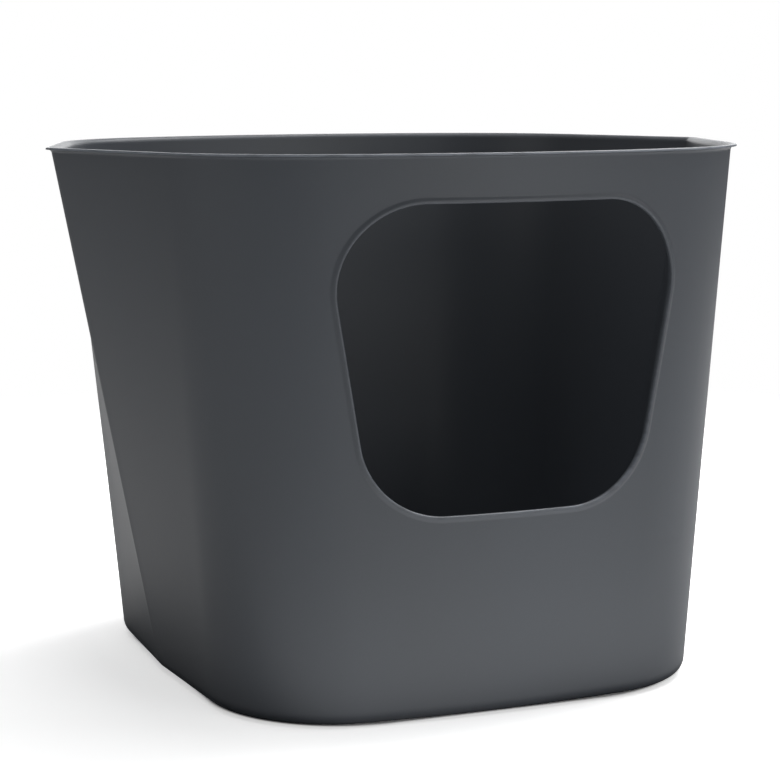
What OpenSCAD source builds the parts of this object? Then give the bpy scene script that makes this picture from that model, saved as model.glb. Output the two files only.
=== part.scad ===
// High-walled litter box: an open-topped moulded tub with an entry cut in its front wall,
// standing on four soft pads.
// Origin: centre of the rim in plan, on the floor. +X right, +Y rear, +Z up. Millimetres.

/* [Tub] */
// Height from the floor to the top of the rim
tub_h = 400; // [385:1:460]
// Thickness of the moulded wall
wall_t = 3.5; // [2.6:0.1:4.5]
// Thickness of the bottom plate
bottom_t = 3.5; // [2.6:0.1:6]

/* [Rim outline] */
// Width of the rim across its two side ridges, flange included
rim_w = 541; // [515:1:560]
// Depth of the rim from front to rear, flange included
rim_d = 503; // [488:1:525]
// Radius of the rim's four corners
rim_r = 150; // [125:1:160]
// Angle that each half of a side turns away from its ridge at the rim
rim_side_a = 18.5; // [16:0.5:20]
// Angle at the ends of the front and rear bows at the rim
rim_bow_a = 20; // [17:0.5:24]
// Radius that softens the ridge in the middle of each side
ridge_r = 14; // [10:0.5:30]

/* [Base outline] */
// Width of the tub at the foot of its walls
base_w = 390; // [375:1:405]
// Depth of the tub at the foot of its walls
base_d = 417; // [400:1:435]
// Radius of the base's four corners
base_r = 99; // [88:1:110]
// Angle that each half of a side turns away from its ridge at the base
base_side_a = 2.8; // [1.8:0.1:4.2]
// Angle at the ends of the front and rear bows at the base
base_bow_a = 6; // [4.5:0.5:9]
// Distance that the base lies forward of the rim's centre
base_forward = 6; // [0:1:14]

/* [Rim flange] */
// Overhang of the flange past the outer wall
flange_out = 4.5; // [3.5:0.5:7]
// Thickness of the flange
flange_t = 1.6; // [1.3:0.1:3]
// Radius of the cove under the flange
cove_r = 3; // [1.5:0.5:5]
// Radius of the rounding inside, where the wall turns out into the flange
rim_round = 4.5; // [2.5:0.5:4.5]
// Radius of the flange's outer edge
rim_edge_r = 0.6; // [0.3:0.1:0.8]

/* [Entry] */
// Height of the entry's lower edge above the floor
entry_z0 = 149; // [125:1:165]
// Height of the entry's upper edge above the floor
entry_z1 = 366; // [340:1:370]
// Width between the entry's sides, where they would meet its upper edge
entry_top_w = 276; // [255:1:284]
// Width between the entry's sides, where they would meet its lower edge
entry_low_w = 202; // [190:1:215]
// Radius of the entry's upper corners
entry_top_r = 59; // [45:1:70]
// Radius of the entry's lower corners
entry_low_r = 62; // [45:1:70]
// Width of the set-back lip round the entry
lip_w = 3.5; // [2.5:0.5:6]
// Depth of the lip's groove behind the wall's face
lip_set = 1.8; // [1:0.1:2]
// Height of the rounded bead on the lip's free edge
bead_rise = 0.9; // [0.4:0.1:1]
// Thickness of the lip behind its groove
lip_t = 3; // [2.6:0.1:4.5]

/* [Base] */
// Height of the rounding at the foot of the walls
foot_round = 10; // [6:0.5:14]
// Width of the standing ring under the walls
ring_w = 9; // [6:0.5:14]
// Rise of the bottom plate above the standing ring
plate_rise = 3; // [2:0.5:6]
// Radius of the rounding inside, between wall and bottom
inner_round = 9; // [6:0.5:12]

/* [Foot pads] */
// Diameter of a foot pad
pad_d = 26; // [18:1:30]
// Thickness of a foot pad
pad_t = 3.2; // [2.6:0.1:4]
// Height that a pad stands proud of the standing ring
pad_proud = 1.5; // [1:0.1:2]
// Bevel of a pad's lower edge
pad_bevel = 0.4; // [0.2:0.1:0.8]
// Clearance round a pad in its socket
pad_gap = 0.25; // [0.1:0.05:0.4]
// Wall of the socket round a pad
socket_wall = 3.5; // [2.5:0.5:5]
// Distance from the foot of the wall, at the middle of a corner, to a pad's centre
pad_inset = 31; // [28:1:40]

/* [Hidden] */
tub_color = [0.27, 0.28, 0.30];
pad_color = [0.10, 0.10, 0.11];
$fn = 64;

// Steps along each stretch of an outline's quarter: ridge, side panel, corner, bow
ridge_n = 2;
panel_n = 5;
corner_n = 9;
bow_n = 8;
// Steps up the wall and round an edge
wall_n = 8;
round_n = 4;
// Steps along each stretch of the entry's half: upper or lower edge, corner, side
edge_n = 4;
arc_n = 8;
side_n = 5;
// Length by which joined solids run into each other, and by which cutters run past a face
overlap = 2.5;
// Smallest radius left where an inset outline passes its ridge's centre
least_r = 6;

// Heights up the tub
ring_z = pad_proud;
plate_z = ring_z + plate_rise;
bottom_z = plate_z + bottom_t;
wall_z0 = ring_z + foot_round;
wall_z1 = tub_h - flange_t - cove_r;
foot_inset = 0.9 * foot_round;
socket_depth = pad_t - pad_proud;

function lerp(a, b, t) = a + (b - a) * t;
function polar(r, a) = [r * cos(a), r * sin(a)];
function mirror_x(points) = [for (k = [len(points) - 2 : -1 : 1]) [-points[k][0], points[k][1]]];

// An outline is [width, depth, corner radius, side angle, bow angle, ridge radius, forward shift].
// Each of its four equal quarters is a ridge arc, a straight panel, a corner arc and a bow arc, all tangent.
base_line = [base_w, base_d, base_r, base_side_a, base_bow_a, ridge_r, base_forward];
rim_line = [rim_w - 2 * flange_out, rim_d - 2 * flange_out, rim_r - flange_out,
            rim_side_a, rim_bow_a, ridge_r, 0];
function inset(o, i) =
    [o[0] - 2 * i, o[1] - 2 * i, o[2] - i, o[3], o[4], max(o[5] - i, least_r), o[6]];

// The panel's length and the bow's radius follow from the rest, so that the stretches meet
function ridge_point(o, share) = [o[0] / 2 - o[5], 0] + polar(o[5], o[3] * share);
function gap_to_close(o) = [0, o[1] / 2 - o[2]] - ridge_point(o, 1) + polar(o[2], o[3]);
function closing(o) = sin(o[3] + o[4]) - sin(o[3]);
function panel_len(o) =
    let (g = gap_to_close(o))
    (g[0] * (1 - cos(o[4])) + g[1] * sin(o[4])) / closing(o);
function bow_r(o) =
    let (g = gap_to_close(o))
    o[2] - (sin(o[3]) * g[1] + cos(o[3]) * g[0]) / closing(o);
function panel_point(o, share) = ridge_point(o, 1) + panel_len(o) * share * polar(1, o[3] + 90);
function corner_centre(o) = panel_point(o, 1) - polar(o[2], o[3]);
function corner_point(o, share) = corner_centre(o) + polar(o[2], lerp(o[3], 90 - o[4], share));
function bow_point(o, share) = [0, o[1] / 2 - bow_r(o)] + polar(bow_r(o), 90 - o[4] * (1 - share));

function quarter(o) = [
    for (k = [0 : ridge_n - 1]) ridge_point(o, k / ridge_n),
    for (k = [0 : panel_n - 1]) panel_point(o, k / panel_n),
    for (k = [0 : corner_n - 1]) corner_point(o, k / corner_n),
    for (k = [0 : bow_n]) bow_point(o, k / bow_n)
];

// Whole outline, counter-clockwise from the right-hand ridge
function outline(o) =
    let (q = quarter(o), rear = concat(q, mirror_x(q)))
    [for (p = concat(rear, -rear)) [p[0], p[1] - o[6]]];

// Outline of the wall at share t of its height, set in by i from its outer face
function wall_line(t, i) = lerp(outline(inset(base_line, i)), outline(inset(rim_line, i)), t);
function share_at(z) = (z - wall_z0) / (wall_z1 - wall_z0);
function raise(points, z) = [for (p = points) [p[0], p[1], z]];

// Rings of the tub, from the middle of its underside up the outer face, over the rim and down inside.
// Each is [share of the wall's height, inset, z].
inner_t0 = share_at(bottom_z + inner_round);
inner_t1 = share_at(tub_h - rim_round);
rings = [
    [0, foot_inset + ring_w + plate_rise / 2, plate_z],
    [0, foot_inset + ring_w, ring_z],
    for (k = [0 : round_n - 1])
        let (a = 90 * k / round_n)
        [0, foot_inset * (1 - sin(a)), ring_z + foot_round * (1 - cos(a))],
    for (k = [0 : wall_n]) [k / wall_n, 0, lerp(wall_z0, wall_z1, k / wall_n)],
    for (k = [1 : round_n])
        let (a = 90 * k / round_n)
        [1, -cove_r * (1 - cos(a)), wall_z1 + cove_r * sin(a)],
    [1, -flange_out, tub_h - flange_t],
    [1, -flange_out, tub_h - rim_edge_r],
    [1, -flange_out + rim_edge_r, tub_h],
    for (k = [0 : round_n - 1])
        let (a = 90 * k / round_n)
        [1, wall_t - rim_round * (1 - sin(a)), tub_h - rim_round * (1 - cos(a))],
    for (k = [wall_n : -1 : 0])
        let (t = lerp(inner_t0, inner_t1, k / wall_n))
        [t, wall_t, lerp(wall_z0, wall_z1, t)],
    for (k = [1 : round_n])
        let (a = 90 * k / round_n)
        [inner_t0, wall_t + inner_round * (1 - cos(a)), bottom_z + inner_round * (1 - sin(a))]
];

// Closed skin over rows of points, each row a closed loop, with both ends capped
module lofted(rows) {
    n = len(rows[0]);
    last = len(rows) - 1;
    faces = [
        [for (k = [0 : n - 1]) k],
        for (j = [0 : last - 1]) for (k = [0 : n - 1])
            let (a = j * n + k, b = j * n + (k + 1) % n)
            each [[a, a + n, b], [b, a + n, b + n]],
        [for (k = [n - 1 : -1 : 0]) last * n + k]
    ];
    polyhedron([for (row = rows) each row], faces, convexity = 8);
}

module tub_blank() {
    lofted([for (r = rings) raise(wall_line(r[0], r[1]), r[2])]);
}

// The entry is a trapezoid with round corners, set out from its inner edge by o, as [x, z] points
side_lean = atan((entry_top_w - entry_low_w) / 2 / (entry_z1 - entry_z0));
low_centre = [entry_low_w / 2 + entry_low_r * (tan(side_lean) - 1 / cos(side_lean)),
              entry_z0 + entry_low_r];
top_centre = [entry_top_w / 2 - entry_top_r * (tan(side_lean) + 1 / cos(side_lean)),
              entry_z1 - entry_top_r];
function low_corner(o, a) = low_centre + polar(entry_low_r + o, a);
function top_corner(o, a) = top_centre + polar(entry_top_r + o, a);
function entry_half(o) = [
    for (k = [0 : edge_n - 1]) lerp([0, entry_z0 - o], low_corner(o, -90), k / edge_n),
    for (k = [0 : arc_n - 1]) low_corner(o, lerp(-90, -side_lean, k / arc_n)),
    for (k = [0 : side_n - 1])
        lerp(low_corner(o, -side_lean), top_corner(o, -side_lean), k / side_n),
    for (k = [0 : arc_n - 1]) top_corner(o, lerp(-side_lean, 90, k / arc_n)),
    for (k = [0 : edge_n]) lerp(top_corner(o, 90), [0, entry_z1 + o], k / edge_n)
];
function entry_line(o) = concat(entry_half(o), mirror_x(entry_half(o)));

// Outer face of the front wall: [x, y] at share t of the wall's height, where u runs from 0 at the
// middle to 1 at the bow's end, and on to 2 at the far end of the corner
function front_of(o, u) =
    let (p = u <= 1 ? bow_point(o, 1 - u) : corner_point(o, 2 - u))
    [p[0], -p[1] - o[6]];
function front_at(u, t) = lerp(front_of(base_line, u), front_of(rim_line, u), t);
function front_share(x, t, u, tries) =
    tries == 0 ? u : front_share(x, t, u + (x - front_at(u, t)[0]) / front_at(1, t)[0], tries - 1);
solve_tries = 8;
function front_y(x, z) =
    let (t = share_at(z))
    front_at(front_share(abs(x), t, 0, solve_tries), t)[1];
function on_front(points, depth) = [for (p = points) [p[0], front_y(p[0], p[1]) + depth, p[1]]];

// Section of the lip, as [distance out from the entry's inner edge, depth behind the wall's face]
bead_w = lip_w * 0.5;
lip_section = [
    [lip_w + overlap, lip_set],
    [bead_w + bead_rise, lip_set],
    [bead_w, lip_set - bead_rise],
    [bead_rise, lip_set - bead_rise],
    [0, lip_set],
    [0, lip_set + lip_t - bead_rise],
    [bead_rise, lip_set + lip_t],
    [lip_w + overlap, lip_set + lip_t]
];

// Closed ring over rows of points, each row a closed loop, with the last row joined to the first
module ringed(rows) {
    n = len(rows[0]);
    m = len(rows);
    faces = [
        for (j = [0 : m - 1]) for (k = [0 : n - 1])
            let (a = j * n + k, b = j * n + (k + 1) % n, c = (a + n) % (m * n), d = (b + n) % (m * n))
            each [[a, c, b], [b, c, d]]
    ];
    polyhedron([for (row = rows) each row], faces, convexity = 8);
}

module entry_lip() {
    ringed([for (s = lip_section) on_front(entry_line(s[0]), s[1])]);
}

module entry_cut() {
    rotate([90, 0, 0])
        linear_extrude(rim_d)
            polygon(entry_line(lip_w));
}

// A pad's centre, in the right rear corner
pad_centre = corner_centre(base_line) + polar(base_r - pad_inset, 45);
module at_pad(sx, sy) {
    translate([sx * pad_centre[0], sy * pad_centre[1] - base_forward, 0])
        children();
}

module at_pads() {
    for (sx = [-1, 1]) for (sy = [-1, 1])
        at_pad(sx, sy) children();
}

socket_d = pad_d + 2 * pad_gap;

module tub_shell() {
    color(tub_color)
    difference() {
        union() {
            difference() {
                tub_blank();
                entry_cut();
            }
            entry_lip();
            at_pads()
                translate([0, 0, ring_z])
                    cylinder(h = plate_rise + overlap, d = socket_d + 2 * socket_wall);
        }
        at_pads()
            cylinder(h = ring_z + socket_depth, d = socket_d);
    }
}

module foot_pad() {
    color(pad_color) {
        cylinder(h = pad_bevel, d1 = pad_d - 2 * pad_bevel, d2 = pad_d);
        translate([0, 0, pad_bevel])
            cylinder(h = pad_t - pad_bevel, d = pad_d);
    }
}

module foot_pad_front_left() {
    at_pad(-1, -1) foot_pad();
}

module foot_pad_front_right() {
    at_pad(1, -1) foot_pad();
}

module foot_pad_rear_left() {
    at_pad(-1, 1) foot_pad();
}

module foot_pad_rear_right() {
    at_pad(1, 1) foot_pad();
}

tub_shell();
foot_pad_front_left();
foot_pad_front_right();
foot_pad_rear_left();
foot_pad_rear_right();
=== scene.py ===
"""Looks of an open-topped, high-walled litter box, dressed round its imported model.

The moulded tub is lofted through the same outlines as its solid, with finer rings, a raised lip round the
entry and rounded edges on the flange. The four foot pads, the studio and the camera follow.
"""

import logging
import math
from dataclasses import dataclass, field, replace
from enum import Enum
from typing import Iterable, Sequence

import bmesh
import bpy
from mathutils import Matrix, Vector


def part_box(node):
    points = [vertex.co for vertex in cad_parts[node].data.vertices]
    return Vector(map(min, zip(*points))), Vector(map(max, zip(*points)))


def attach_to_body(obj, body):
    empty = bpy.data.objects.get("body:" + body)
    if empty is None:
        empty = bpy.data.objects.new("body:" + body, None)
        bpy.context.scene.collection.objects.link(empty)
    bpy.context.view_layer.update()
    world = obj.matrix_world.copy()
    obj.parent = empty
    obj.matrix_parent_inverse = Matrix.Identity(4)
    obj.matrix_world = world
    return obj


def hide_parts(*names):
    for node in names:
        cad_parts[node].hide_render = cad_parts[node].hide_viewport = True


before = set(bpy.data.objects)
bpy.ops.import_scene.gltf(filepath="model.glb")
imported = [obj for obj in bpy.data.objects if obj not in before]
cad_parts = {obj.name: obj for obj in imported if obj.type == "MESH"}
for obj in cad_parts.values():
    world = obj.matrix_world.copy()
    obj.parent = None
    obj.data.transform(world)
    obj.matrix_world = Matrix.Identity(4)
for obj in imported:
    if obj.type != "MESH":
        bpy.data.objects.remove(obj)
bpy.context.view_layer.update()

log = logging.getLogger("litter_box")

MM = 0.001
TINY = 1e-6
RIGHT_ANGLE = math.radians(90.0)
Point = tuple[float, float]


# -- Small geometry helpers --------------------------------------------------------


def lerp(a: float, b: float, share: float) -> float:
    """Blend from a to b."""
    return a + (b - a) * share


def lerp_point(a: Point, b: Point, share: float) -> Point:
    """Blend from point a to point b."""
    return lerp(a[0], b[0], share), lerp(a[1], b[1], share)


def polar(radius: float, degrees: float) -> Point:
    """A point at a radius and an angle from +X."""
    turn = math.radians(degrees)
    return radius * math.cos(turn), radius * math.sin(turn)


def plus(a: Point, b: Point) -> Point:
    """The sum of two points."""
    return a[0] + b[0], a[1] + b[1]


def spread(start: float, end: float, steps: int) -> list[float]:
    """Evenly spaced values from start up to, but without, end."""
    return [lerp(start, end, k / steps) for k in range(steps)]


def turns(steps: int) -> list[float]:
    """Evenly spaced angles from 0 up to, but without, a right angle, in radians."""
    return [math.radians(a) for a in spread(0, 90, steps)]


def add_object(name: str, data: bpy.types.ID) -> bpy.types.Object:
    """Link a new object with that data to the scene."""
    made = bpy.data.objects.new(name, data)
    bpy.context.scene.collection.objects.link(made)
    return made


def to_object(mesh: bmesh.types.BMesh, name: str, material: bpy.types.Material) -> bpy.types.Object:
    """Turn a finished mesh into an object with one finish, and free the mesh."""
    data = bpy.data.meshes.new(name)
    mesh.to_mesh(data)
    mesh.free()
    data.materials.append(material)
    return add_object(name, data)


# -- Outlines ----------------------------------------------------------------------


@dataclass(frozen=True)
class Outline:
    """A plan outline of the tub, whose quarters are a ridge arc, a panel, a corner arc and a bow arc.

    Sizes are in metres and angles in degrees.
    """

    width: float
    depth: float
    corner_r: float
    side_angle: float
    bow_angle: float
    ridge_r: float
    forward: float = 0.0
    least_ridge_r: float = 6 * MM

    def inset(self, by: float) -> "Outline":
        """The outline that lies inside this one.

        Args:
            by: Distance inwards, or outwards where it is negative.

        Returns:
            The parallel outline, with its ridge kept from closing up.
        """
        return replace(
            self,
            width=self.width - 2 * by,
            depth=self.depth - 2 * by,
            corner_r=self.corner_r - by,
            ridge_r=max(self.ridge_r - by, self.least_ridge_r),
        )

    def ridge_point(self, share: float) -> Point:
        """A point on the ridge arc, from the ridge itself at 0 to the panel at 1."""
        return plus((self.width / 2 - self.ridge_r, 0.0), polar(self.ridge_r, self.side_angle * share))

    def _gap(self) -> Point:
        """What the panel and the bow have to close between them."""
        start = self.ridge_point(1)
        back = polar(self.corner_r, self.side_angle)
        return back[0] - start[0], self.depth / 2 - self.corner_r - start[1] + back[1]

    def _closing(self) -> float:
        """The determinant of the two closing equations."""
        side = math.radians(self.side_angle)
        bow = math.radians(self.bow_angle)
        return math.sin(side + bow) - math.sin(side)

    def panel_length(self) -> float:
        """Length of the straight panel that makes the quarter close."""
        gap = self._gap()
        bow = math.radians(self.bow_angle)
        return (gap[0] * (1 - math.cos(bow)) + gap[1] * math.sin(bow)) / self._closing()

    def bow_radius(self) -> float:
        """Radius of the bow that makes the quarter close."""
        gap = self._gap()
        side = math.radians(self.side_angle)
        return self.corner_r - (math.sin(side) * gap[1] + math.cos(side) * gap[0]) / self._closing()

    def panel_point(self, share: float) -> Point:
        """A point on the panel, from the ridge arc at 0 to the corner arc at 1."""
        return plus(self.ridge_point(1), polar(self.panel_length() * share, self.side_angle + 90))

    def corner_point(self, share: float) -> Point:
        """A point on the corner arc, from the panel at 0 to the bow at 1."""
        back = polar(-self.corner_r, self.side_angle)
        centre = plus(self.panel_point(1), back)
        return plus(centre, polar(self.corner_r, lerp(self.side_angle, 90 - self.bow_angle, share)))

    def bow_point(self, share: float) -> Point:
        """A point on the bow, from the corner arc at 0 to the middle at 1."""
        radius = self.bow_radius()
        centre = (0.0, self.depth / 2 - radius)
        return plus(centre, polar(radius, 90 - self.bow_angle * (1 - share)))

    def front_point(self, place: float) -> Point:
        """A point on the right-hand front: 0 is the middle, 1 the bow's end, 2 the corner's far end."""
        x, y = self.bow_point(1 - place) if place <= 1 else self.corner_point(2 - place)
        return x, -y - self.forward


@dataclass(frozen=True)
class RingSteps:
    """How many points each stretch of an outline's quarter gets."""

    ridge: int = 6
    panel: int = 14
    corner: int = 24
    bow: int = 26

    @property
    def quarter(self) -> int:
        """Points in a quarter."""
        return self.ridge + self.panel + self.corner + self.bow

    @property
    def ring(self) -> int:
        """Points in a whole ring."""
        return 4 * self.quarter

    def loop(self, outline: Outline) -> list[Point]:
        """The whole outline as points.

        Args:
            outline: The outline to walk.

        Returns:
            Points counter-clockwise, from the ridge on the right.
        """
        quarter = (
            [outline.ridge_point(s) for s in spread(0, 1, self.ridge)]
            + [outline.panel_point(s) for s in spread(0, 1, self.panel)]
            + [outline.corner_point(s) for s in spread(0, 1, self.corner)]
            + [outline.bow_point(s) for s in spread(0, 1, self.bow)]
        )
        middle = outline.bow_point(1)
        mirrored = [(-x, y) for x, y in reversed(quarter[1:])]
        rear = quarter + [middle] + mirrored
        turned = [(-x, -y) for x, y in rear]
        return [(x, y - outline.forward) for x, y in rear + turned]


@dataclass(frozen=True)
class EntryOutline:
    """The entry's outline on the front wall: a trapezoid with round corners, as (x, z) points."""

    low_z: float = 149 * MM
    top_z: float = 366 * MM
    low_width: float = 202 * MM
    top_width: float = 276 * MM
    low_r: float = 62 * MM
    top_r: float = 59 * MM

    @property
    def lean(self) -> float:
        """Angle of the entry's sides from upright, in degrees."""
        return math.degrees(math.atan((self.top_width - self.low_width) / 2 / (self.top_z - self.low_z)))

    def _centres(self) -> tuple[Point, Point]:
        """Centres of the right-hand lower and upper corner."""
        lean = math.radians(self.lean)
        low_x = self.low_width / 2 + self.low_r * (math.tan(lean) - 1 / math.cos(lean))
        top_x = self.top_width / 2 - self.top_r * (math.tan(lean) + 1 / math.cos(lean))
        return (low_x, self.low_z + self.low_r), (top_x, self.top_z - self.top_r)

    def _stretches(self) -> list[float]:
        """Lengths of the right-hand half's five stretches, from the lower to the upper middle."""
        low, top = self._centres()
        low_arc = self.low_r * math.radians(90 - self.lean)
        top_arc = self.top_r * math.radians(90 + self.lean)
        low_end = plus(low, polar(self.low_r, -self.lean))
        top_end = plus(top, polar(self.top_r, -self.lean))
        return [low[0], low_arc, math.dist(low_end, top_end), top_arc, top[0]]

    def half_point(self, out: float, share: float) -> Point:
        """A point on the right-hand half.

        Args:
            out: Distance outwards from the entry's inner edge.
            share: 0 at the lower middle, 1 at the upper middle, by length of the inner edge.

        Returns:
            The point as (x, z).
        """
        low, top = self._centres()
        low_turn = 90 - self.lean
        top_turn = 90 + self.lean
        stretches = self._stretches()
        left = share * sum(stretches)
        index = 0
        while index < len(stretches) - 1 and left > stretches[index]:
            left -= stretches[index]
            index += 1
        part = min(left / stretches[index], 1.0)
        if index == 0:
            return low[0] * part, self.low_z - out
        if index == 1:
            return plus(low, polar(self.low_r + out, -90 + low_turn * part))
        if index == 2:
            start = plus(low, polar(self.low_r + out, -self.lean))
            end = plus(top, polar(self.top_r + out, -self.lean))
            return lerp_point(start, end, part)
        if index == 3:
            return plus(top, polar(self.top_r + out, -self.lean + top_turn * part))
        return top[0] * (1 - part), self.top_z + out

    def corner_shares(self) -> tuple[float, float]:
        """Shares of the half's length at the middle of its lower and of its upper corner."""
        low_flat, low_arc, side, top_arc, top_flat = self._stretches()
        whole = low_flat + low_arc + side + top_arc + top_flat
        return (low_flat + low_arc / 2) / whole, (low_flat + low_arc + side + top_arc / 2) / whole


# -- Shader building ---------------------------------------------------------------


class Wire:
    """A node's output socket, on which Python's operators add Math nodes."""

    def __init__(self, shader: "Shader", socket: bpy.types.NodeSocket) -> None:
        """Wrap a socket of a shader's tree."""
        self.shader = shader
        self.socket = socket

    def _math(self, operation: str, first: "Wire | float", second: "Wire | float") -> "Wire":
        """A Math node of one operation on two values."""
        return self.shader.node("ShaderNodeMath", {"operation": operation}, {0: first, 1: second})

    def __add__(self, other: "Wire | float") -> "Wire":
        """Sum."""
        return self._math("ADD", self, other)

    def __radd__(self, other: float) -> "Wire":
        """Sum, from the right."""
        return self._math("ADD", other, self)

    def __sub__(self, other: "Wire | float") -> "Wire":
        """Difference."""
        return self._math("SUBTRACT", self, other)

    def __rsub__(self, other: float) -> "Wire":
        """Difference, from the right."""
        return self._math("SUBTRACT", other, self)

    def __mul__(self, other: "Wire | float") -> "Wire":
        """Product."""
        return self._math("MULTIPLY", self, other)

    def __rmul__(self, other: float) -> "Wire":
        """Product, from the right."""
        return self._math("MULTIPLY", other, self)


class Shader:
    """The node tree of a material or a world, with one method that adds any node."""

    def __init__(self, block: bpy.types.Material | bpy.types.World) -> None:
        """Empty the tree of a material or a world."""
        self.block = block
        self.block.use_nodes = True
        self.tree = self.block.node_tree
        self.tree.nodes.clear()

    @classmethod
    def material(cls, name: str) -> "Shader":
        """The tree of a new material of that name."""
        return cls(bpy.data.materials.new(name))

    def node(
        self,
        kind: str,
        settings: dict[str, object] | None = None,
        inputs: dict[str | int, object] | None = None,
        output: str | int = 0,
    ) -> Wire:
        """Add a node.

        Args:
            kind: The node's type.
            settings: Properties of the node, set first. "stops" fills a colour ramp.
            inputs: Values or wires for its input sockets, by name or index.
            output: The output to return.

        Returns:
            The chosen output as a wire.
        """
        made = self.tree.nodes.new(kind)
        for key, value in (settings or {}).items():
            if key == "stops":
                self._fill_ramp(made.color_ramp, value)
            else:
                setattr(made, key, value)
        for key, value in (inputs or {}).items():
            if isinstance(value, Wire):
                self.tree.links.new(value.socket, made.inputs[key])
            else:
                made.inputs[key].default_value = value
        return Wire(self, made.outputs[output])

    @staticmethod
    def _fill_ramp(ramp: bpy.types.ColorRamp, stops: Sequence[tuple[float, float]]) -> None:
        """Give a ramp grey stops, each a place and a level."""
        while len(ramp.elements) < len(stops):
            ramp.elements.new(0.5)
        for element, (place, level) in zip(ramp.elements, stops):
            element.position = place
            element.color = (level, level, level, 1.0)

    def place(self) -> Wire:
        """Object coordinates."""
        return self.node("ShaderNodeTexCoord", output="Object")

    def noise(self, where: Wire, scale: float, detail: float = 2.0, stretch: float = 1.0) -> Wire:
        """Soft noise.

        Args:
            where: Coordinates.
            scale: Waves in a metre.
            detail: Octaves.
            stretch: How much longer its spots are upright than across.

        Returns:
            A value round a half.
        """
        if stretch != 1.0:
            where = self.node(
                "ShaderNodeMapping",
                {"vector_type": "POINT"},
                {"Vector": where, "Scale": (1.0, 1.0, 1.0 / stretch)},
            )
        return self.node("ShaderNodeTexNoise", {}, {"Vector": where, "Scale": scale, "Detail": detail})

    def ramp(self, value: Wire, stops: Sequence[tuple[float, float]]) -> Wire:
        """Send a value through grey stops."""
        return self.node("ShaderNodeValToRGB", {"stops": stops}, {"Fac": value})

    def mix_colour(self, factor: Wire, first: object, second: object) -> Wire:
        """Mix two colours by a factor."""
        return self.node(
            "ShaderNodeMix",
            {"data_type": "RGBA"},
            {0: factor, 6: first, 7: second},
            output=2,
        )

    def bump(self, height: Wire, strength: float, distance: float, normal: Wire | None = None) -> Wire:
        """A Bump node over a height, on top of another bump where one is given."""
        inputs: dict[str | int, object] = {"Height": height, "Strength": strength, "Distance": distance}
        if normal is not None:
            inputs["Normal"] = normal
        return self.node("ShaderNodeBump", {}, inputs)

    def vector(self, operation: str, first: object, second: object = None, output: int | str = 0) -> Wire:
        """A Vector Math node of one operation on one or two vectors."""
        inputs = {0: first} if second is None else {0: first, 1: second}
        return self.node("ShaderNodeVectorMath", {"operation": operation}, inputs, output)

    def finish(self, surface: Wire, kind: str = "ShaderNodeOutputMaterial") -> bpy.types.ID:
        """Link a surface to an output node, and return the material or world."""
        out = self.tree.nodes.new(kind)
        self.tree.links.new(surface.socket, out.inputs["Surface"])
        return self.block


def grey(level: float, blue: float = 0.0) -> tuple[float, float, float, float]:
    """A near-neutral colour.

    Args:
        level: Linear level of its green.
        blue: How much cooler it is than grey, as a share of the level.

    Returns:
        The colour with full alpha.
    """
    return level * (1 - blue * 0.6), level, level * (1 + blue), 1.0


# -- Finishes ----------------------------------------------------------------------

# The vertex layer for the lighter edge colour: partly wearing, partly painted highlight.
WEAR_AND_HIGHLIGHT = "edge_wear_and_highlight"


@dataclass(frozen=True)
class MouldedPlastic:
    """Satin slate-grey moulded plastic with a fine grain, faint flow marks, and lighter edges, partly
    from wearing and partly a painted highlight.
    """

    name: str = "tub_plastic"
    level: float = 0.070
    cool: float = 0.15
    roughness: float = 0.44
    grain_scale: float = 1500.0
    orange_peel_scale: float = 240.0
    flow_scale: float = 7.0
    flow_stretch: float = 2.5
    flow_level: float = 1.10
    flow_cool: float = 1.15
    speck_level: float = 1.35
    speck_share: float = 0.25
    rub_scale: float = 60.0
    rub_stretch: float = 0.25
    wear_and_highlight_lift: float = 1.4
    worn_and_highlight_level: float = 3.0
    flow_roughness: float = 0.05
    grain_roughness: float = 0.10
    worn_and_highlight_gloss: float = 0.08
    peel_bump: Point = (0.10, 0.12 * MM)
    grain_bump: Point = (0.22, 0.05 * MM)
    ior: float = 1.49

    def make(self) -> bpy.types.Material:
        """Build the material.

        Returns:
            The finished material.
        """
        shader = Shader.material(self.name)
        place = shader.place()
        flow = shader.noise(place, self.flow_scale, 3.0, self.flow_stretch)
        cloud = shader.ramp(flow, [(0.3, 0.0), (0.7, 1.0)])
        speck = shader.ramp(shader.noise(place, self.grain_scale, 1.0), [(0.45, 0.0), (0.75, 1.0)])
        grain = shader.noise(place, self.grain_scale, 2.0)
        peel = shader.noise(place, self.orange_peel_scale, 1.0)
        rub = shader.noise(place, self.rub_scale, 4.0, self.rub_stretch)
        # A lighter colour along the rim's and the lip's edges: partly wearing, partly a painted highlight
        # for their bright lines.
        wear_and_highlight = shader.node("ShaderNodeAttribute", {"attribute_name": WEAR_AND_HIGHLIGHT}, output="Fac")
        worn_and_highlit = wear_and_highlight * shader.ramp(rub, [(0.35, 0.35), (0.65, 1.0)])

        base = grey(self.level, self.cool)
        flowed = grey(self.level * self.flow_level, self.cool * self.flow_cool)
        bright = grey(self.level * self.speck_level, self.cool)
        rubbed_and_highlit = grey(self.level * self.worn_and_highlight_level, self.cool)
        cloudy = shader.mix_colour(cloud, base, flowed)
        specked = shader.mix_colour(speck * self.speck_share, cloudy, bright)
        colour = shader.mix_colour(worn_and_highlit * self.wear_and_highlight_lift, specked, rubbed_and_highlit)

        roughness = self.roughness + (cloud - 0.5) * self.flow_roughness
        roughness = roughness + (grain - 0.5) * self.grain_roughness - worn_and_highlit * self.worn_and_highlight_gloss
        normal = shader.bump(peel, *self.peel_bump)
        normal = shader.bump(grain, *self.grain_bump, normal)
        surface = shader.node(
            "ShaderNodeBsdfPrincipled",
            {},
            {
                "Base Color": colour,
                "Roughness": roughness,
                "Normal": normal,
                "IOR": self.ior,
                "Specular IOR Level": 0.5,
            },
        )
        return shader.finish(surface)


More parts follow.
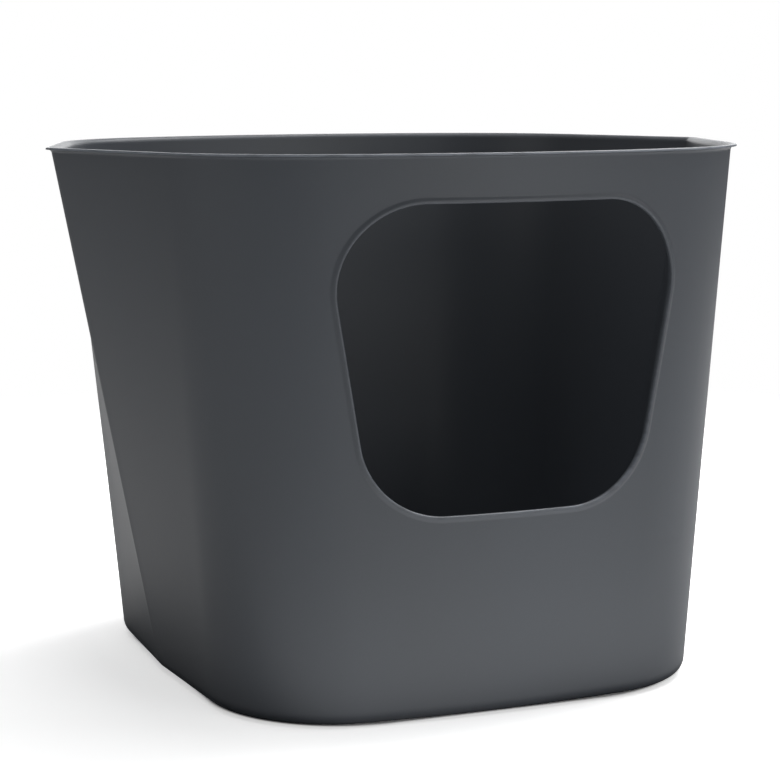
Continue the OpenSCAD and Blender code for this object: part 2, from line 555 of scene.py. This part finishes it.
@dataclass(frozen=True)
class PadRubber:
    """Matt black rubber with dust in its pores."""

    name: str = "pad_rubber"
    level: float = 0.016
    roughness: float = 0.82
    pore_scale: float = 1100.0
    dust_scale: float = 180.0
    dust_level: float = 2.6
    dust_share: float = 0.5
    pore_roughness: float = 0.2
    pore_bump: Point = (0.35, 0.08 * MM)
    ior: float = 1.52

    def make(self) -> bpy.types.Material:
        """Build the material.

        Returns:
            The finished material.
        """
        shader = Shader.material(self.name)
        place = shader.place()
        pores = shader.noise(place, self.pore_scale, 3.0)
        dust = shader.ramp(shader.noise(place, self.dust_scale, 4.0), [(0.45, 0.0), (0.75, 1.0)])
        dusty = grey(self.level * self.dust_level)
        colour = shader.mix_colour(dust * self.dust_share, grey(self.level), dusty)
        roughness = self.roughness + (pores - 0.5) * self.pore_roughness
        normal = shader.bump(pores, *self.pore_bump)
        surface = shader.node(
            "ShaderNodeBsdfPrincipled",
            {},
            {"Base Color": colour, "Roughness": roughness, "Normal": normal, "IOR": self.ior},
        )
        return shader.finish(surface)


@dataclass(frozen=True)
class StudioPaper:
    """Studio floor that keeps a soft shadow and runs out to plain white.

    The camera sees a brighter paper than the one that lights the tub, with white mixed in, a little more
    just beside the foot as painted light over its shadow.
    As a reflector the floor carries painted shade, darker beside the foot and at the left, and a strip in
    front glows, which the camera doesn't see.
    """

    name: str = "studio_paper"
    level: float = 0.90
    seen_level: float = 2.6
    roughness: float = 0.9
    near_lift: float = 0.41
    foot_half: Point = (193 * MM, 207 * MM)
    foot_r: float = 112 * MM
    foot_forward: float = 6 * MM
    foot_start: float = -11 * MM
    foot_end: float = -6.5 * MM
    contact_lift: float = 0.11
    contact_reach: float = 40 * MM
    fade_start: float = 0.75
    fade_end: float = 1.5
    shade_level: float = 0.52
    shade_start: float = 100 * MM
    shade_end: float = 190 * MM
    shade_reach: float = 120 * MM
    contact_shade_level: float = 0.08
    contact_shade_reach: float = 22 * MM
    glow: float = 0.78
    glow_way: tuple[float, float, float] = (-0.08, -0.997, 0.0)
    glow_start: float = 0.20
    glow_end: float = 0.27
    glow_fade_start: float = 0.34
    glow_fade_end: float = 0.60

    def rise(self, shader: Shader, value: Wire, span: tuple[float, float], top: float = 1.0) -> Wire:
        """A smooth rise from 0 to a top value over a span."""
        return shader.node(
            "ShaderNodeMapRange",
            {"interpolation_type": "SMOOTHSTEP"},
            {"Value": value, "From Min": span[0], "From Max": span[1], "To Min": 0.0, "To Max": top},
        )

    def from_foot(self, shader: Shader, place: Wire) -> Wire:
        """Distance of a place on the floor from the tub's foot, negative under it."""
        core = (self.foot_half[0] - self.foot_r, self.foot_half[1] - self.foot_r, 0.0)
        shifted = shader.vector("ADD", place, (0.0, self.foot_forward, 0.0))
        folded = shader.vector("ABSOLUTE", shifted)
        beyond = shader.vector("SUBTRACT", folded, core)
        outer = shader.vector("MAXIMUM", beyond, (0.0, 0.0, 0.0))
        return shader.vector("LENGTH", outer, output="Value") - self.foot_r

    def make(self) -> bpy.types.Material:
        """Build the material.

        Returns:
            The finished material.
        """
        shader = Shader.material(self.name)
        place = shader.place()
        away = shader.vector("LENGTH", place, output="Value")
        beside = self.from_foot(shader, place)
        ahead = shader.vector("DOT_PRODUCT", place, self.glow_way, "Value")
        # For the camera white is mixed into the floor, none under the tub and a little more just beside
        # the foot: painted light over its shadow there.
        touching = 1.0 - self.rise(shader, beside, (0.0, self.contact_reach))
        outside = self.rise(shader, beside, (self.foot_start, self.foot_end))
        near = outside * (touching * self.contact_lift + self.near_lift)
        far = self.rise(shader, away, (self.fade_start, self.fade_end), 1.0 - self.near_lift)
        lit = self.rise(shader, ahead, (self.glow_start, self.glow_end))
        past = self.rise(shader, away, (self.glow_fade_start, self.glow_fade_end))
        camera = shader.node("ShaderNodeLightPath", output="Is Camera Ray")
        # The floor's colour as a reflector is painted shade: darker at the left and all round close
        # beside the foot.
        left = shader.vector("DOT_PRODUCT", place, (-1.0, 0.0, 0.0), "Value")
        shade = self.rise(shader, left, (self.shade_start, self.shade_end))
        shade = shade * (1.0 - self.rise(shader, beside, (0.0, self.shade_reach)))
        gap = 1.0 - self.rise(shader, beside, (0.0, self.contact_shade_reach))
        bounced = shader.mix_colour(shade, grey(self.level), grey(self.shade_level))
        bounced = shader.mix_colour(gap, bounced, grey(self.contact_shade_level))
        paper = shader.node(
            "ShaderNodeBsdfPrincipled",
            {},
            {
                "Base Color": shader.mix_colour(camera, bounced, grey(self.seen_level)),
                "Roughness": self.roughness,
                "Specular IOR Level": 0.0,
                "Emission Color": lit * (1.0 - past) * (1.0 - camera),
                "Emission Strength": self.glow,
            },
        )
        white = shader.node("ShaderNodeEmission", {}, {"Color": grey(1.0), "Strength": 1.0})
        mixed = shader.node("ShaderNodeMixShader", {}, {0: camera * (near + far), 1: paper, 2: white})
        return shader.finish(mixed)


# -- Lofting -----------------------------------------------------------------------


@dataclass
class Loft:
    """A mesh that grows ring by ring."""

    mesh: bmesh.types.BMesh = field(default_factory=bmesh.new)

    def __post_init__(self) -> None:
        """Add the layer that holds the lighter edge colour: partly wearing, partly painted highlight."""
        self.wear_and_highlight = self.mesh.verts.layers.float.new(WEAR_AND_HIGHLIGHT)

    def ring(self, points: Iterable[Vector], wear_and_highlight: float = 0.0) -> list[bmesh.types.BMVert]:
        """Add a closed ring.

        Args:
            points: Where its vertices go, in order.
            wear_and_highlight: How much lighter edge colour its vertices get, partly wearing and partly
                painted highlight, from 0 to 1.

        Returns:
            The ring's vertices in order.
        """
        places = list(points)
        vert = bmesh.ops.create_circle(self.mesh, segments=len(places), radius=1.0)["verts"][0]
        edge = vert.link_edges[0]
        made = []
        for place in places:
            vert.co = place
            vert[self.wear_and_highlight] = wear_and_highlight
            made.append(vert)
            vert = edge.other_vert(vert)
            edge = next(other for other in vert.link_edges if other is not edge)
        return made

    def edges(self, loop: Sequence[bmesh.types.BMVert]) -> list[bmesh.types.BMEdge]:
        """Edges between neighbours of a closed loop of vertices."""
        found = []
        for first, second in zip(loop, [*loop[1:], loop[0]]):
            found.append(self.mesh.edges.get((first, second)))
        return found

    def grow(
        self,
        ring: Sequence[bmesh.types.BMVert],
        points: Iterable[Vector],
        wear_and_highlight: list[float] | float = 0.0,
    ) -> list[bmesh.types.BMVert]:
        """Draw a ring out into the next one.

        Args:
            ring: The ring to start from.
            points: Where the next ring's vertices go, in the same order.
            wear_and_highlight: How much lighter edge colour its vertices get, partly wearing and partly
                painted highlight, from 0 to 1, all alike or one by one.

        Returns:
            The next ring's vertices in order.
        """
        drawn = bmesh.ops.extrude_edge_only(self.mesh, edges=self.edges(ring))["geom"]
        fresh = {part for part in drawn if isinstance(part, bmesh.types.BMVert)}
        levels = wear_and_highlight if isinstance(wear_and_highlight, list) else [wear_and_highlight] * len(ring)
        made = []
        for start, place, level in zip(ring, points, levels):
            ends = (edge.other_vert(start) for edge in start.link_edges)
            vert = next(end for end in ends if end in fresh)
            vert.co = place
            vert[self.wear_and_highlight] = level
            made.append(vert)
        return made

    def join(self, ring: Sequence[bmesh.types.BMVert], target: Sequence[bmesh.types.BMVert]) -> None:
        """Draw a ring out onto another one and weld the two."""
        made = self.grow(ring, [vert.co.copy() for vert in target])
        bmesh.ops.weld_verts(self.mesh, targetmap=dict(zip(made, target)))

    def cap(self, loop: Sequence[bmesh.types.BMVert]) -> None:
        """Close a loop with one face."""
        bmesh.ops.holes_fill(self.mesh, edges=self.edges(loop), sides=0)

    def finish(self, name: str, material: bpy.types.Material) -> bpy.types.Object:
        """Finish the mesh as an object.

        Args:
            name: The piece's name.
            material: Its finish.

        Returns:
            The new object, linked to the scene.
        """
        bmesh.ops.recalc_face_normals(self.mesh, faces=self.mesh.faces)
        for face in self.mesh.faces:
            face.smooth = True
        return to_object(self.mesh, name, material)


# -- The tub -----------------------------------------------------------------------


@dataclass(frozen=True)
class RingSpec:
    """One ring of the tub: share of the wall's height, inset, height, and lighter edge colour, partly
    wearing and partly painted highlight.
    """

    share: float
    inset: float
    z: float
    wear_and_highlight: float = 0.0


@dataclass
class Tub:
    """The moulded tub, from the middle of its underside over the rim to its inner floor."""

    height: float = 400 * MM
    wall: float = 3.5 * MM
    floor: float = 3.5 * MM
    flange_out: float = 4.5 * MM
    flange_t: float = 1.6 * MM
    cove_r: float = 3 * MM
    rim_round: float = 4.5 * MM
    edge_r: float = 1.35 * MM
    flange_burr: float = 0.2 * MM
    foot_round: float = 10 * MM
    foot_inset: float = 9 * MM
    foot_ring: float = 9 * MM
    plate_rise: float = 3 * MM
    inner_round: float = 9 * MM
    ring_z: float = 1.5 * MM
    ring_edge: float = 0.6 * MM
    lip_w: float = 3.5 * MM
    lip_set: float = 1.8 * MM
    lip_t: float = 3.0 * MM
    bead_out: float = 1.75 * MM
    bead_rise: float = 1.2 * MM
    bead_reach: float = 4.9 * MM
    nose_depth: float = 0.8 * MM
    nose_land: float = 0.6 * MM
    draft: float = 0.6 * MM
    back_r: float = 0.8 * MM
    back_land: float = 2.5 * MM
    scuff_and_highlight_reach: float = 110 * MM
    scuff_and_highlight_most: float = 0.68
    scuff_and_highlight_least: float = 0.14
    patch_low: float = 112 * MM
    patch_top: float = 386 * MM
    patch_rows: int = 60
    patch_corner: int = 8
    low_rows: int = 18
    top_rows: int = 2
    outer_bands: int = 9
    inner_bands: int = 7
    band_power: float = 1.6
    seek_rounds: int = 8
    steps: RingSteps = field(default_factory=RingSteps)
    entry: EntryOutline = field(default_factory=EntryOutline)
    foot_line: Outline = Outline(390 * MM, 417 * MM, 99 * MM, 2.8, 6.0, 14 * MM, 6 * MM)
    rim_line: Outline = Outline(532 * MM, 494 * MM, 145.5 * MM, 18.5, 20.0, 14 * MM)
    finish: MouldedPlastic = MouldedPlastic()

    @property
    def wall_low(self) -> float:
        """Height at which the straight wall starts."""
        return self.ring_z + self.foot_round

    @property
    def wall_top(self) -> float:
        """Height at which the straight wall ends."""
        return self.height - self.flange_t - self.cove_r

    @property
    def plate_z(self) -> float:
        """Height of the bottom plate's underside."""
        return self.ring_z + self.plate_rise

    @property
    def bottom_z(self) -> float:
        """Height of the inner floor."""
        return self.plate_z + self.floor

    def share_at(self, z: float) -> float:
        """Share of the wall's height at z."""
        return (z - self.wall_low) / (self.wall_top - self.wall_low)

    def z_at(self, share: float) -> float:
        """Height at a share of the wall."""
        return lerp(self.wall_low, self.wall_top, share)

    def ring_points(self, spec: RingSpec) -> list[Vector]:
        """Points of one ring."""
        low = self.steps.loop(self.foot_line.inset(spec.inset))
        top = self.steps.loop(self.rim_line.inset(spec.inset))
        flat = [lerp_point(a, b, spec.share) for a, b in zip(low, top)]
        return [Vector((x, y, spec.z)) for x, y in flat]

    def front_place(self, x: float, z: float, inset: float) -> Vector:
        """The point of the front wall at x and z.

        Args:
            x: Distance right of the middle.
            z: Height.
            inset: Depth behind the outer face.

        Returns:
            The point.
        """
        share = self.share_at(z)
        low, top = self.foot_line.inset(inset), self.rim_line.inset(inset)
        span = lerp_point(low.front_point(1), top.front_point(1), share)[0]
        place = 0.0
        for _ in range(self.seek_rounds):
            reached = lerp_point(low.front_point(place), top.front_point(place), share)
            place += (abs(x) - reached[0]) / span
        return Vector((x, reached[1], z))

    # rings

    def underside_rings(self) -> list[RingSpec]:
        """Rings from the bottom plate over the standing ring to the foot of the wall."""
        start = self.foot_inset + self.foot_ring
        edge = self.ring_edge
        rounded = [
            RingSpec(
                0,
                self.foot_inset * (1 - math.sin(turn)),
                self.ring_z + self.foot_round * (1 - math.cos(turn)),
            )
            for turn in turns(8)
        ]
        return [
            RingSpec(0, start + self.plate_rise / 2 + 2 * edge, self.plate_z),
            RingSpec(0, start + self.plate_rise / 2 + edge, self.plate_z - edge * 0.3),
            RingSpec(0, start + edge, self.ring_z + edge * 0.6),
            RingSpec(0, start, self.ring_z),
            *rounded,
        ]

    def wall_shares(self) -> list[float]:
        """Shares of the wall's height at its rows, from its foot to its top."""
        low, top = self.share_at(self.patch_low), self.share_at(self.patch_top)
        return [
            *spread(0, low, self.low_rows),
            *spread(low, top, self.patch_rows),
            *spread(top, 1, self.top_rows),
            1.0,
        ]

    def rim_rings(self) -> list[RingSpec]:
        """Rings from the cove under the flange over the rim to the top of the inner wall."""
        rings = []
        for turn in turns(8)[1:]:
            out = self.cove_r * (1 - math.cos(turn))
            rings.append(RingSpec(1, -out, self.wall_top + self.cove_r * math.sin(turn)))
        under = self.height - self.flange_t
        burr = self.flange_burr
        rings.append(RingSpec(1, -self.cove_r, under))
        # The flange's edge and top, and a little of the inner rounding, get the lighter edge colour:
        # partly wearing, partly a painted highlight for the rim's bright line.
        rings.append(RingSpec(1, -self.flange_out + burr, under + burr * 0.2, 0.5))
        rings.append(RingSpec(1, -self.flange_out, under + burr, 1.0))
        for turn in [*turns(6), RIGHT_ANGLE]:
            inset = self.edge_r * (1 - math.cos(turn)) - self.flange_out
            rings.append(RingSpec(1, inset, self.height - self.edge_r * (1 - math.sin(turn)), 1.0))
        rings.append(RingSpec(1, -self.flange_out + 2 * self.edge_r, self.height, 0.45))
        for turn in turns(9):
            inset = self.wall - self.rim_round * (1 - math.sin(turn))
            drop = self.rim_round * (1 - math.cos(turn))
            rings.append(RingSpec(1, inset, self.height - drop, 0.2 * math.cos(turn)))
        return rings

    def inner_floor_rings(self, share: float) -> list[RingSpec]:
        """Rings of the rounding between the inner wall and the floor."""
        rings = []
        for turn in [*turns(8)[1:], RIGHT_ANGLE]:
            rings.append(
                RingSpec(
                    share,
                    self.wall + self.inner_round * (1 - math.cos(turn)),
                    self.bottom_z + self.inner_round * (1 - math.sin(turn)),
                )
            )
        return rings

    # the entry

    def patch_columns(self) -> list[int]:
        """Ring indices of the wall's columns across the entry, from left to right."""
        middle = 3 * self.steps.quarter
        reach = self.steps.bow + self.patch_corner
        return [(middle + k) % self.steps.ring for k in range(-reach, reach + 1)]

    def open_patch(self, loft: Loft, rows: list[list[bmesh.types.BMVert]]) -> list[bmesh.types.BMVert]:
        """Take the faces out of the wall round the entry.

        Args:
            loft: The tub's mesh.
            rows: The wall's rings across the entry's height.

        Returns:
            The vertices round the gap, from the middle of its lower edge and to the right.
        """
        columns = self.patch_columns()
        inside = {row[c] for row in rows for c in columns}
        faces = [f for f in loft.mesh.faces if all(v in inside for v in f.verts)]
        bmesh.ops.delete(loft.mesh, geom=faces, context="FACES")
        half = len(columns) // 2
        low = [rows[0][c] for c in columns]
        top = [rows[-1][c] for c in columns]
        right = [row[columns[-1]] for row in rows]
        left = [row[columns[0]] for row in rows]
        return low[half:-1] + right[:-1] + top[:0:-1] + left[:0:-1] + low[:half]

    def entry_shares(self) -> list[float]:
        """Places round the entry that match the vertices round the gap, as shares of each half."""
        reach = self.steps.bow + self.patch_corner
        low, top = self.entry.corner_shares()
        return [*spread(0, low, reach), *spread(low, top, self.patch_rows), *spread(top, 1, reach), 1.0]

    def entry_points(self, out: float) -> list[Point]:
        """The entry's outline set outwards, matching the vertices round the gap."""
        shares = self.entry_shares()
        right = [self.entry.half_point(out, s) for s in shares]
        left = [(-x, z) for x, z in reversed(right[1:-1])]
        return right + left

    def lip_section(self) -> list[tuple[float, float, float]]:
        """The raised lip from the wall's face over its bead and its cut face to the wall's back.

        Returns:
            For each ring, its distance out from the entry, its depth behind the outer face, and its
            lighter edge colour, partly wearing and partly a painted highlight on the bead's crest.
        """
        section = []
        for share in spread(0, 1, 14):
            risen = share * share * (3 - 2 * share)
            out = lerp(self.bead_reach, self.bead_out, share)
            section.append((out, -self.bead_rise * risen, 0.1 * share))
        for turn in [*turns(12), RIGHT_ANGLE]:
            depth = lerp(-self.bead_rise, self.nose_depth, 1 - math.cos(turn))
            section.append((self.bead_out * (1 - math.sin(turn)), depth, lerp(0.2, 1.0, math.sin(turn))))
        back = self.lip_set + self.lip_t
        section.append((0.0, self.nose_depth + self.nose_land, 0.5))
        section.append((self.draft, back - self.back_r, 0.1))
        for turn in [*turns(5)[1:], RIGHT_ANGLE]:
            out = self.draft + self.back_r * (1 - math.cos(turn))
            section.append((out, back - self.back_r * (1 - math.sin(turn)), 0.3))
        reach = self.lip_w + self.back_land
        section.append((reach - 0.5 * MM, back, 0.1))
        section.append((reach - 0.1 * MM, back - 0.15 * MM, 0.2))
        section.append((reach + 0.3 * MM, self.wall + 0.4 * MM, 0.1))
        section.append((reach + 0.9 * MM, self.wall, 0.0))
        return section

    def scuff_and_highlight(self, z: float) -> float:
        """How much lighter the entry's edge is at a height: most low down, partly scuffing where it is
        stepped over and partly a painted highlight on the lower edge's bright line.
        """
        share = min(max((z - self.entry.low_z) / self.scuff_and_highlight_reach, 0.0), 1.0)
        return lerp(self.scuff_and_highlight_most, self.scuff_and_highlight_least, share)

    def blend_rings(
        self, gap: list[bmesh.types.BMVert], out: float, inset: float, steps: int
    ) -> list[list[Vector]]:
        """Rings on the wall between a gap's border and the entry's lip, the border's side first.

        Args:
            gap: The vertices round the gap.
            out: The lip's reach out from the entry.
            inset: Depth behind the outer face.
            steps: Bands between the border and the lip.

        Returns:
            The points of each ring.
        """
        border = [(v.co.x, v.co.z) for v in gap]
        near = self.entry_points(out)
        rings = []
        for k in range(1, steps):
            share = 1 - (1 - k / steps) ** self.band_power
            flat = [lerp_point(a, b, share) for a, b in zip(border, near)]
            rings.append([self.front_place(x, z, inset) for x, z in flat])
        return rings

    def build_entry(
        self, loft: Loft, outer_gap: list[bmesh.types.BMVert], inner_gap: list[bmesh.types.BMVert]
    ) -> None:
        """Fill the wall round the entry and give it its lip, from the outer to the inner face.

        Args:
            loft: The tub's mesh.
            outer_gap: The vertices round the gap in the outer face.
            inner_gap: The vertices round the gap in the inner face.
        """
        section = self.lip_section()
        ring = outer_gap
        for points in self.blend_rings(outer_gap, section[0][0], 0.0, self.outer_bands):
            ring = loft.grow(ring, points)
        # The lip's lighter edge colour, graded by height, is partly wearing and partly painted highlight.
        for out, depth, wear_and_highlight in section:
            flat = self.entry_points(out)
            points = [self.front_place(x, z, depth) for x, z in flat]
            ring = loft.grow(ring, points, [wear_and_highlight * self.scuff_and_highlight(z) for _, z in flat])
        inner = self.blend_rings(inner_gap, section[-1][0], self.wall, self.inner_bands)
        for points in reversed(inner):
            ring = loft.grow(ring, points)
        loft.join(ring, inner_gap)

    # assembly

    def build(self) -> bpy.types.Object:
        """Build the whole tub.

        Returns:
            The tub's object.
        """
        loft = Loft()
        shares = self.wall_shares()
        rim_share = self.share_at(self.height - self.rim_round)
        floor_share = self.share_at(self.bottom_z + self.inner_round)
        inner_shares = [floor_share] + [s for s in shares if floor_share < s < 1] + [rim_share]
        outer = [RingSpec(s, 0.0, self.z_at(s)) for s in shares]
        inner = [RingSpec(s, self.wall, self.z_at(s)) for s in reversed(inner_shares)]
        specs = [
            *self.underside_rings(),
            *outer,
            *self.rim_rings(),
            *inner,
            *self.inner_floor_rings(floor_share),
        ]
        rings = [loft.ring(self.ring_points(specs[0]))]
        for spec in specs[1:]:
            rings.append(loft.grow(rings[-1], self.ring_points(spec), spec.wear_and_highlight))
        loft.cap(rings[0])
        loft.cap(rings[-1])
        by_wall = {id(spec): ring for spec, ring in zip(specs, rings)}
        low = self.share_at(self.patch_low) - TINY
        top = self.share_at(self.patch_top) + TINY
        outer_rows = [by_wall[id(spec)] for spec in outer if low < spec.share < top]
        inner_rows = [by_wall[id(spec)] for spec in reversed(inner) if low < spec.share < top]
        outer_gap = self.open_patch(loft, outer_rows)
        inner_gap = self.open_patch(loft, inner_rows)
        self.build_entry(loft, outer_gap, inner_gap)
        return loft.finish("tub_body", self.finish.make())


# -- Foot pads ---------------------------------------------------------------------


@dataclass
class FootPads:
    """The four soft pads under the tub, each where its solid stands."""

    bevel: float = 0.8 * MM
    groove_w: float = 1.2 * MM
    groove_depth: float = 0.4 * MM
    lands: tuple[float, ...] = (0.24, 0.26)
    segments: int = 64
    finish: PadRubber = PadRubber()

    def build_pad(self, node: str, material: bpy.types.Material) -> bpy.types.Object:
        """Build one pad in the place of its solid.

        Args:
            node: The solid that the pad stands for.
            material: Its finish.

        Returns:
            The pad's object.
        """
        low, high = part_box(node)
        radius = (high.x - low.x) / 2
        centre = (low + high) / 2
        mesh = bmesh.new()
        made = bmesh.ops.create_circle(mesh, cap_ends=True, segments=self.segments, radius=radius)
        for v in made["verts"]:
            v.co.z = low.z
        drawn = bmesh.ops.extrude_face_region(mesh, geom=mesh.faces[:])
        top = [g for g in drawn["geom"] if isinstance(g, bmesh.types.BMVert)]
        bmesh.ops.translate(mesh, verts=top, vec=(0, 0, high.z - low.z))
        rims = [e for e in mesh.edges if abs(e.verts[0].co.z - e.verts[1].co.z) < TINY]
        bmesh.ops.bevel(
            mesh, geom=rims, offset=self.bevel / 2, segments=3, affect="EDGES", profile=0.5, material=-1
        )
        caps = [f for f in mesh.faces if len(f.verts) >= self.segments]
        bottom = [f for f in caps if f.calc_center_median().z < centre.z]
        for land in self.lands:
            bmesh.ops.inset_region(mesh, faces=bottom, thickness=land * radius)
            for shift in (self.groove_depth, -self.groove_depth):
                bmesh.ops.inset_region(mesh, faces=bottom, thickness=self.groove_w / 2)
                inner = list({v for f in bottom for v in f.verts})
                bmesh.ops.translate(mesh, verts=inner, vec=(0, 0, shift))
        bmesh.ops.translate(mesh, verts=mesh.verts, vec=(centre.x, centre.y, 0))
        bmesh.ops.recalc_face_normals(mesh, faces=mesh.faces)
        for face in mesh.faces:
            face.smooth = len(face.verts) == 4
        return to_object(mesh, node + "_rubber", material)

    def build(self) -> dict[str, bpy.types.Object]:
        """Build all pads.

        Returns:
            Each pad's object by the name of the solid that it stands for.
        """
        material = self.finish.make()
        nodes = sorted(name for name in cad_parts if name.startswith("foot_pad_"))
        return {node: self.build_pad(node, material) for node in nodes}


# -- Studio ------------------------------------------------------------------------


class LightRole(Enum):
    """What a lamp is for."""

    TOP = "top"
    TOP_RIGHT = "top_right"
    KEY = "key"
    FRONT = "front"
    FRONT_RIGHT = "front_right"
    LEFT = "left"
    REAR = "rear"


@dataclass(frozen=True)
class SoftBox:
    """A rectangular soft lamp aimed at a point."""

    role: LightRole
    place: tuple[float, float, float]
    width: float
    height: float
    watts: float
    aim: tuple[float, float, float] = (0.0, 0.0, 0.2)

    def build(self) -> bpy.types.Object:
        """Add the lamp to the scene.

        Returns:
            The lamp's object.
        """
        data = bpy.data.lights.new(self.role.value, "AREA")
        data.shape = "RECTANGLE"
        data.size = self.width
        data.size_y = self.height
        data.energy = self.watts
        lamp = add_object(self.role.value, data)
        lamp.location = self.place
        towards = Vector(self.aim) - Vector(self.place)
        lamp.rotation_euler = towards.to_track_quat("-Z", "Y").to_euler()
        return lamp


@dataclass
class Studio:
    """The pale floor, the lamps, the world and the camera."""

    camera_turn: float = 22.05
    camera_distance: float = 1.7362
    camera_height: float = 0.4531
    camera_pitch: float = 8.13
    camera_roll: float = -0.227
    focal_pixels: float = 2223.5
    frame_width: float = 780.0
    sensor: float = 36.0
    clip: Point = (0.05, 100.0)
    floor_reach: float = 12.0
    world_diffuse: float = 0.0
    world_glossy: float = 0.165
    lamps: tuple[SoftBox, ...] = (
        SoftBox(LightRole.TOP, (0.0, 0.2, 2.4), 2.6, 2.6, 26.6),
        SoftBox(LightRole.TOP_RIGHT, (1.4, 0.6, 2.2), 1.6, 1.6, 37.2),
        SoftBox(LightRole.KEY, (1.9, -0.6, 1.7), 1.4, 1.4, 7.5),
        SoftBox(LightRole.FRONT, (0.3, -3.0, 0.6), 2.0, 0.9, 9.0, (0.0, 0.0, 0.15)),
        SoftBox(LightRole.FRONT_RIGHT, (1.4, -2.6, 1.0), 1.6, 1.6, 14.0),
        SoftBox(LightRole.LEFT, (-2.4, -0.2, 0.9), 1.4, 1.6, 4.6),
        SoftBox(LightRole.REAR, (1.1, 2.7, 0.95), 2.4, 1.2, 22.0, (0.0, 0.0, 0.4)),
    )

    def build_floor(self) -> bpy.types.Object:
        """Lay the floor.

        Returns:
            The floor's object.
        """
        mesh = bmesh.new()
        bmesh.ops.create_grid(mesh, x_segments=8, y_segments=8, size=self.floor_reach)
        floor = to_object(mesh, "floor", StudioPaper().make())
        return floor

    def build_world(self) -> bpy.types.World:
        """Make a world that is white to the camera and dimmer as a light.

        Returns:
            The world.
        """
        world = bpy.data.worlds.new("studio")
        bpy.context.scene.world = world
        shader = Shader(world)
        diffuse, glossy, white = (
            shader.node("ShaderNodeBackground", {}, {"Color": grey(1.0), "Strength": strength})
            for strength in (self.world_diffuse, self.world_glossy, 1.0)
        )
        shiny = shader.node("ShaderNodeLightPath", output="Is Glossy Ray")
        camera = shader.node("ShaderNodeLightPath", output="Is Camera Ray")
        unseen = shader.node("ShaderNodeMixShader", {}, {0: shiny, 1: diffuse, 2: glossy})
        seen = shader.node("ShaderNodeMixShader", {}, {0: camera, 1: unseen, 2: white})
        return shader.finish(seen, "ShaderNodeOutputWorld")

    def build_camera(self) -> bpy.types.Object:
        """Set the camera at the photograph's viewing angle.

        Returns:
            The camera's object.
        """
        turn = math.radians(self.camera_turn)
        pitch = math.radians(self.camera_pitch)
        roll = math.radians(self.camera_roll)
        flat = math.cos(pitch)
        ahead = Vector((math.sin(turn) * flat, math.cos(turn) * flat, -math.sin(pitch)))
        level = Vector((math.cos(turn), -math.sin(turn), 0.0))
        up = level.cross(ahead)
        right = level * math.cos(roll) + up * math.sin(roll)
        above = up * math.cos(roll) - level * math.sin(roll)
        data = bpy.data.cameras.new("camera")
        data.sensor_fit = "HORIZONTAL"
        data.sensor_width = self.sensor
        data.lens = self.focal_pixels / self.frame_width * self.sensor
        data.clip_start, data.clip_end = self.clip
        camera = add_object("camera", data)
        camera.matrix_world = Matrix(
            (
                (right.x, above.x, -ahead.x, -self.camera_distance * math.sin(turn)),
                (right.y, above.y, -ahead.y, -self.camera_distance * math.cos(turn)),
                (right.z, above.z, -ahead.z, self.camera_height),
                (0.0, 0.0, 0.0, 1.0),
            )
        )
        bpy.context.scene.camera = camera
        return camera

    def build(self) -> None:
        """Build the whole studio."""
        self.build_floor()
        self.build_world()
        for lamp in self.lamps:
            lamp.build()
        self.build_camera()
        bpy.context.scene.view_settings.view_transform = "Standard"


# -- Assembly ----------------------------------------------------------------------


def attach(piece: bpy.types.Object, node: str) -> None:
    """Let a piece stand for a solid.

    Args:
        piece: The dressed piece.
        node: The solid's name.
    """
    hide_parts(node)
    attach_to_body(piece, "root")
    log.info("%s stands for %s: %d faces", piece.name, node, len(piece.data.polygons))


def main() -> None:
    """Build the tub, the pads and the studio in order."""
    logging.basicConfig(level=logging.INFO, format="%(name)s: %(message)s")
    Studio().build()
    attach(Tub().build(), "tub_shell")
    for node, pad in FootPads().build().items():
        attach(pad, node)


if __name__ == "__main__":
    main()
